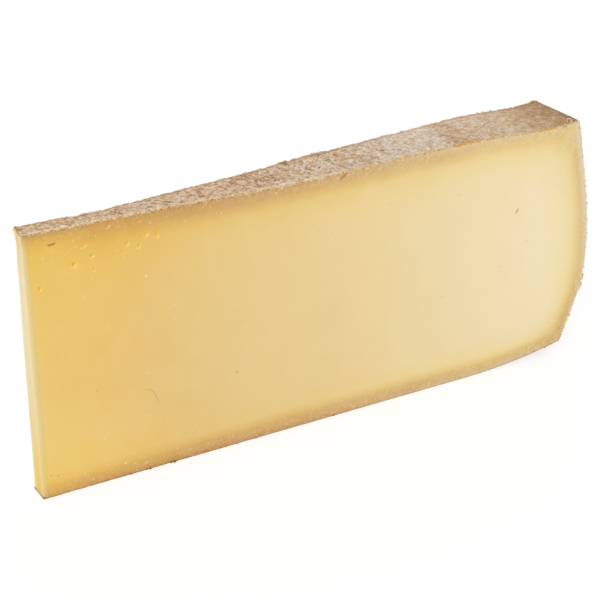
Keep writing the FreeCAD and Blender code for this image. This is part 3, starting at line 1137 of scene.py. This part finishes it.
def ball_mesh():
    """Points and triangles of a rough unit ball: an octahedron with each face divided in four."""
    points = [(1, 0, 0), (-1, 0, 0), (0, 1, 0), (0, -1, 0), (0, 0, 1), (0, 0, -1)]
    points = [Vector(p) for p in points]
    octahedron = [(0, 2, 4), (2, 1, 4), (1, 3, 4), (3, 0, 4), (2, 0, 5), (1, 2, 5), (3, 1, 5), (0, 3, 5)]
    middles = {}

    def middle(a, b):
        key = (min(a, b), max(a, b))
        if key not in middles:
            middles[key] = len(points)
            points.append((points[a] + points[b]).normalized())
        return middles[key]

    faces = []
    for a, b, c in octahedron:
        ab, bc, ca = middle(a, b), middle(b, c), middle(c, a)
        faces += [(a, ab, ca), (ab, b, bc), (ca, bc, c), (ab, bc, ca)]
    return np.array([tuple(p) for p in points]), faces


BALL_POINTS, BALL_FACES = ball_mesh()


def at_cut(along, height, side, sunk=0):
    """A point on a flat cut, sunk a little into it. side is -1 for the front and 1 for the back."""
    return (TIP_X + along, side * (half_width(along) - sunk), height)


def on_cut(along, height, side, sunk=0):
    """A point on a cut as it really is, with its slight waves."""
    shift = BACK_RELIEF_SHIFT if side > 0 else 0
    wave = cut_relief(np.array([along + shift]), np.array([height]))[0]
    return at_cut(along, height, side, sunk - wave)


def on_tip_edge(turn, height):
    """A point on the tip's worn front edge, from the front cut at 0 to the tip's face at pi / 2."""
    along = FRONT_EDGE_RADIUS * (1 - math.sin(turn))
    return at_cut(along, height, -1, FRONT_EDGE_RADIUS * (1 - math.cos(turn)))


class Heap:
    """Many small closed bodies that become one mesh."""

    def __init__(self, seed):
        self.picks = random.Random(seed)
        self.seed = seed
        self.points = []
        self.faces = []
        self.count = 0

    def side(self):
        """One of the two cuts, at random."""
        return self.picks.choice((-1, 1))

    def add(self, points, faces):
        self.points.append(points)
        self.faces += [[self.count + i for i in face] for face in faces]
        self.count += len(points)

    def lump(self, centre, size):
        """An uneven lump. size is its half extents along X, Y and Z, before a turn about Y."""
        uneven = 1 + LUMP_UNEVENNESS * noise_at(BALL_POINTS, 0.8, self.seed + 0.13 * self.count)
        turn = Matrix.Rotation(self.picks.uniform(-0.9, 0.9), 3, "Y")
        self.add((BALL_POINTS * uneven[:, None] * size) @ np.array(turn).T + centre, BALL_FACES)

    def thread(self, path, half_thickness, flatness=1):
        """A thin thread along a path of points, tapered at its ends and flattened across Y."""
        path = np.array(path)
        run = np.gradient(path, axis=0)
        run /= np.linalg.norm(run, axis=1)[:, None]
        side = np.cross(run, (0, 1, 0))
        side /= np.linalg.norm(side, axis=1)[:, None]
        over = np.cross(side, run) * flatness
        thick = half_thickness * np.sqrt(np.sin(np.linspace(0.06, math.pi - 0.06, len(path))))
        thick = thick * (1 + 0.3 * noise_at(path, 0.9, self.seed))
        rings = []
        for turn in np.linspace(0, 2 * math.pi, THREAD_SIDES, endpoint=False):
            rings.append(path + (side * math.cos(turn) + over * math.sin(turn)) * thick[:, None])
        points = np.stack(rings, axis=1).reshape(-1, 3)
        faces = grid_faces(len(path), THREAD_SIDES, closed=True).tolist()
        faces.append(list(range(THREAD_SIDES))[::-1])
        faces.append([len(points) - THREAD_SIDES + k for k in range(THREAD_SIDES)])
        self.add(points, faces)

    def stroke(self, half_thickness, knots, side=-1):
        """A fine stroke on a cut face."""
        count = max(8, int(distance_along(np.array(knots))[-1] / 0.4))
        path = [on_cut(along, height, side) for along, height in smooth_line(knots, count)]
        self.thread(path, half_thickness, 0.5)

    def strokes(self, table):
        for half_thickness, *knots in table:
            self.stroke(half_thickness, knots)

    def make(self, name, material_slot, look):
        points = np.concatenate(self.points)
        points[:, 2] = np.maximum(points[:, 2], 0)
        new_piece(name, points, self.faces, material_slot, [look])


def make_crystals(look):
    """White crystals and lint on both cuts, thickest just under the rind, and the eyes' pale rims, which
    are partly painted highlights.
    """
    heap = Heap(11)
    pick = heap.picks.uniform
    spots = [(*spot, -1) for spot in CRYSTALS]
    while len(spots) < CRYSTAL_COUNT:
        height, along, side = pick(1, 99), pick(2, 233), heap.side()
        rise = height - foot_height(along)
        depth = min(top_height(along, side) - height, heel_limit(height) - along)
        near_tip = 1 if along < 90 else 0.45
        chance = 0.03 + near_tip * math.exp(-rise / 4.5) + 0.6 * math.exp(-max(depth, 0) / 3.5)
        if min(rise, depth) < 0.8 or heap.picks.random() > chance:
            continue
        spots.append((along, height, pick(0.11, 0.24), side))
    for along, height, size, side in spots:
        spread = (size * pick(0.8, 1.5), size * 0.5, size * pick(0.6, 1.1))
        heap.lump(on_cut(along, height, side, -0.02), spread)
    for y, height, size in TIP_CRYSTALS:
        heap.lump((TIP_X + 0.02, y, height), (0.5 * size, size, size))
    heap.strokes(PALE_STROKES)
    # The eyes' pale rims, partly painted highlights on one side of each mouth
    for number in range(len(EYES)):
        heap.stroke(RIM_AND_HIGHLIGHT_STROKES[number % 3], eye_rim(number))
    # White flakes and lint on the tip's worn front edge, partly painted glints on its rounding
    for turn, height, half_breadth, half_height in TIP_FLAKES_AND_GLINTS:
        heap.lump(on_tip_edge(turn, height), (0.14, half_breadth, half_height))
    for _ in range(TIP_LINT_AND_GLINT_COUNT):
        spot = on_tip_edge(pick(0.7, 1.57), pick(76, 98))
        heap.lump(spot, (0.09, pick(0.10, 0.24), pick(0.10, 0.45)))

    # Lint along the top and the foot, then dry strokes in the heel's upper corners
    for _ in range(LINT_COUNT):
        along, height = pick(4, 215), pick(2, 8)
        height = foot_height(along) + height if heap.picks.random() < 0.6 else 100 - height
        end = (along + pick(0.4, 1.1), height + pick(-0.7, 0.9))
        bend = (along + pick(0.1, 0.7), height + pick(-0.1, 0.8))
        heap.stroke(pick(0.07, 0.12), ((along, height), bend, end), heap.side())
    for _ in range(HEEL_STROKE_COUNT):
        along, height = pick(212, 229), pick(70, 98)
        if along > heel_limit(height) - 0.8:
            continue
        end = (along + pick(0.5, 1.3), height + pick(0.7, 1.9))
        if end[0] < heel_limit(end[1]) - 0.3 and end[1] < 98.5:
            bend = (along + pick(0.2, 0.6), height + pick(0.4, 0.9))
            heap.stroke(pick(0.07, 0.11), ((along, height), bend, end), heap.side())
    heap.make("crystals", "paste", look)


def make_specks(look):
    """Brown specks on both cuts, with grains of rind at their foot."""
    heap = Heap(12)
    pick = heap.picks.uniform
    spots = [(*spot, -1) for spot in SPECKS]
    for _ in range(SPECK_COUNT):
        near_foot = heap.picks.random() < 0.6
        along = pick(4, 120 if near_foot else 215)
        height = pick(2, 15) if near_foot else pick(12, 90)
        spots.append((along, height, pick(0.10, 0.17), heap.side()))
    for along, height, size, side in spots:
        heap.lump(on_cut(along, height, side, 0.02), (size, 0.10, size * pick(0.6, 1)))
    # Brown strokes, one of them the hanging flap of rind with a painted shadow under it
    heap.strokes(BROWN_STROKES_AND_SHADOW)
    for _ in range(FOOT_GRAIN_COUNT):
        along = pick(1, FOOT_END - 1)
        size = 0.12 + 0.28 * heap.picks.random() ** 2
        low = (along, foot_height(along) + pick(0.1, 0.5), heap.side())
        heap.lump(at_cut(*low, -0.6 * size), (1.4 * size, 0.8 * size, 0.7 * size))
    heap.make("specks", "rind", look)


def make_scratches(look):
    """Moist yellow scratches beside the eyes."""
    heap = Heap(16)
    heap.strokes(YELLOW_STROKES)
    heap.make("scratches", "paste", look)


def make_fibres(look):
    """Two dark fibres on the front cut and dark burrs at its foot."""
    heap = Heap(14)
    heap.strokes(DARK_STROKES)
    for along, size in FOOT_BURRS:
        heap.lump(at_cut(along, 0.35, -1, -0.6 * size), (size, 0.9 * size, 0.45))
    heap.make("fibres", "rind", look)


def make_crumbs(look):
    """Crumbs where the cuts broke the rind."""
    heap = Heap(13)
    pick = heap.picks.uniform
    for _ in range(CRUMB_COUNT):
        side = heap.side()
        where = heap.picks.random()
        size = pick(0.10, 0.26)
        if where < 0.66:
            size = 0.10 + 0.32 * heap.picks.random() ** 2
            along = pick(1, TOP_END - 0.5)
            height = edge_height(along, side) - pick(0, 0.8)
        elif where < 0.82:
            height = pick(6, 98)
            along = heel_limit(height) - pick(-0.1, 0.8)
            size *= 1.3
        else:
            along = pick(1, FOOT_END - 1)
            height = foot_height(along) + pick(0.6, 2.4)
            size *= 0.7
        spread = (size * pick(0.8, 1.7), size * 0.6, size * pick(0.6, 1))
        heap.lump(at_cut(along, height, side, pick(-0.02, 0.12)), spread)
    for height, size in HEEL_BURRS:
        heap.lump(at_cut(heel_limit(height) + 0.2, height, -1, 0.4), (size, 0.40, 1.6 * size))
    for along, size in TOP_BURRS:
        heap.lump(at_cut(along, edge_height(along, 1), 1, 0.2), (1.5 * size, 0.4, size))
    for _ in range(LONG_CRUMB_COUNT):
        side = -1 if heap.picks.random() < 0.7 else 1
        along = pick(14, TOP_END - 0.5)
        height = edge_height(along, side) - pick(-0.1, 0.45)
        half_length, thick = pick(0.35, 0.95), pick(0.14, 0.26)
        heap.lump(at_cut(along, height, side, 0.05), (half_length, thick, thick))
    heap.make("rind_crumbs", "rind", look)


def make_shreds(look):
    """Dry shreds lying on the rind: a straw, a curl at the heel and pale flakes over the front edge,
    which are partly painted highlights.
    """
    heap = Heap(15)
    for half_thickness, *knots in SHREDS:
        line = smooth_line(knots, 24)
        path = [place(along, top_height(along, across) + 0.24, across) for along, across in line]
        heap.thread(path, half_thickness)
    # Pale lumps on the hanging flap, partly painted highlights
    for along, size in TOP_FLAKES_AND_HIGHLIGHTS:
        spot = on_cut(along, top_height(along, -1) - 1.3, -1, -0.1)
        heap.lump(spot, (size, 0.3, 0.8 * size))
    heap.make("shreds", "rind", look)


# ---- Camera, light and floor ----

LENS = 90.887
CAMERA_PLACE = (-0.273114, -0.428292, 0.294452)
CAMERA_PITCH = math.radians(26.115)
CAMERA_YAW = math.radians(31.556)
SKY_LEVEL = 0.62
SOFTBOX_SIZE = 0.8
FLOOR_HALF = 3000


def make_camera():
    """A long lens above the tip's left, looking down the front cut."""
    data = bpy.data.cameras.new("camera")
    data.sensor_width = 36
    data.lens = LENS
    camera = new_object("camera", data)
    camera.location = CAMERA_PLACE
    camera.rotation_euler = (math.pi / 2 - CAMERA_PITCH, 0, -CAMERA_YAW)
    bpy.context.scene.camera = camera


def make_world():
    """An even soft sky, seen as white."""
    world = bpy.data.worlds.new("sky")
    world.use_nodes = True
    background = world.node_tree.nodes["Background"]
    nodes = Nodes(world.node_tree)
    nodes.set_input(background, "Color", WHITE)
    nodes.set_input(background, "Strength", nodes.spread(nodes.seen_directly(), 0, 1, SKY_LEVEL, 1))
    bpy.context.scene.world = world


def make_floor():
    """A pale floor. Seen directly it glows up to white, and keeps a faint shadow."""
    look = Look("floor")
    seen = look.seen_directly()
    look.body = look.mix((look.noise(40), 0.3, 0.7), (232, 231, 229), (236, 235, 233))
    look.body = look.mix(seen, look.body, factor(0.30, 0.30, 0.30))
    look.finish(
        Roughness=0.9,
        Specular_IOR_Level=0,
        Emission_Color=WHITE,
        Emission_Strength=look.product(seen, 0.74),
    )
    sides = ((-1, -1), (1, -1), (1, 1), (-1, 1))
    corners = [(x * FLOOR_HALF, y * FLOOR_HALF, -0.05) for x, y in sides]
    mesh = new_mesh("floor", corners, [(0, 1, 2, 3)])
    mesh.materials.append(look.material)
    floor = new_object("floor", mesh)


def add_softbox(name, location, power):
    """A square area lamp aimed at the middle of the wedge."""
    data = bpy.data.lights.new(name, "AREA")
    data.shape = "SQUARE"
    data.size = SOFTBOX_SIZE
    data.energy = power
    lamp = new_object(name, data)
    lamp.location = location
    aim = (cad_box[0] + cad_box[1]) / 2 - Vector(location)
    lamp.rotation_euler = aim.to_track_quat("-Z", "Y").to_euler()


def main():
    make_camera()
    bpy.context.scene.view_settings.view_transform = "Standard"
    make_world()
    make_floor()
    add_softbox("key", (-0.85, -1, 0.85), 10.9)
    add_softbox("fill", (0.9, 0.9, 0.8), 3.4)
    add_softbox("back", (0.75, 1.1, 0.12), 6)
    make_rind(rind_look(), rind_cut_look())
    make_paste(paste_look())
    make_crystals(plain_look("crystal", (250, 240, 212), (236, 218, 178), 0.3, 0.55))
    make_specks(plain_look("speck", (178, 120, 54), (204, 150, 80), 0.3, 0.7))
    make_scratches(plain_look("scratch", (242, 202, 84), (246, 210, 108), 0.6, 0.4))
    make_fibres(plain_look("fibre", (146, 112, 86), (176, 142, 108), 0.5, 0.7, (156, 98, 26)))
    make_crumbs(plain_look("crumb", (246, 226, 186), (204, 152, 84), 1, 0.8))
    make_shreds(plain_look("shred", (250, 232, 198), (226, 192, 140), 0.8, 0.75))


main()
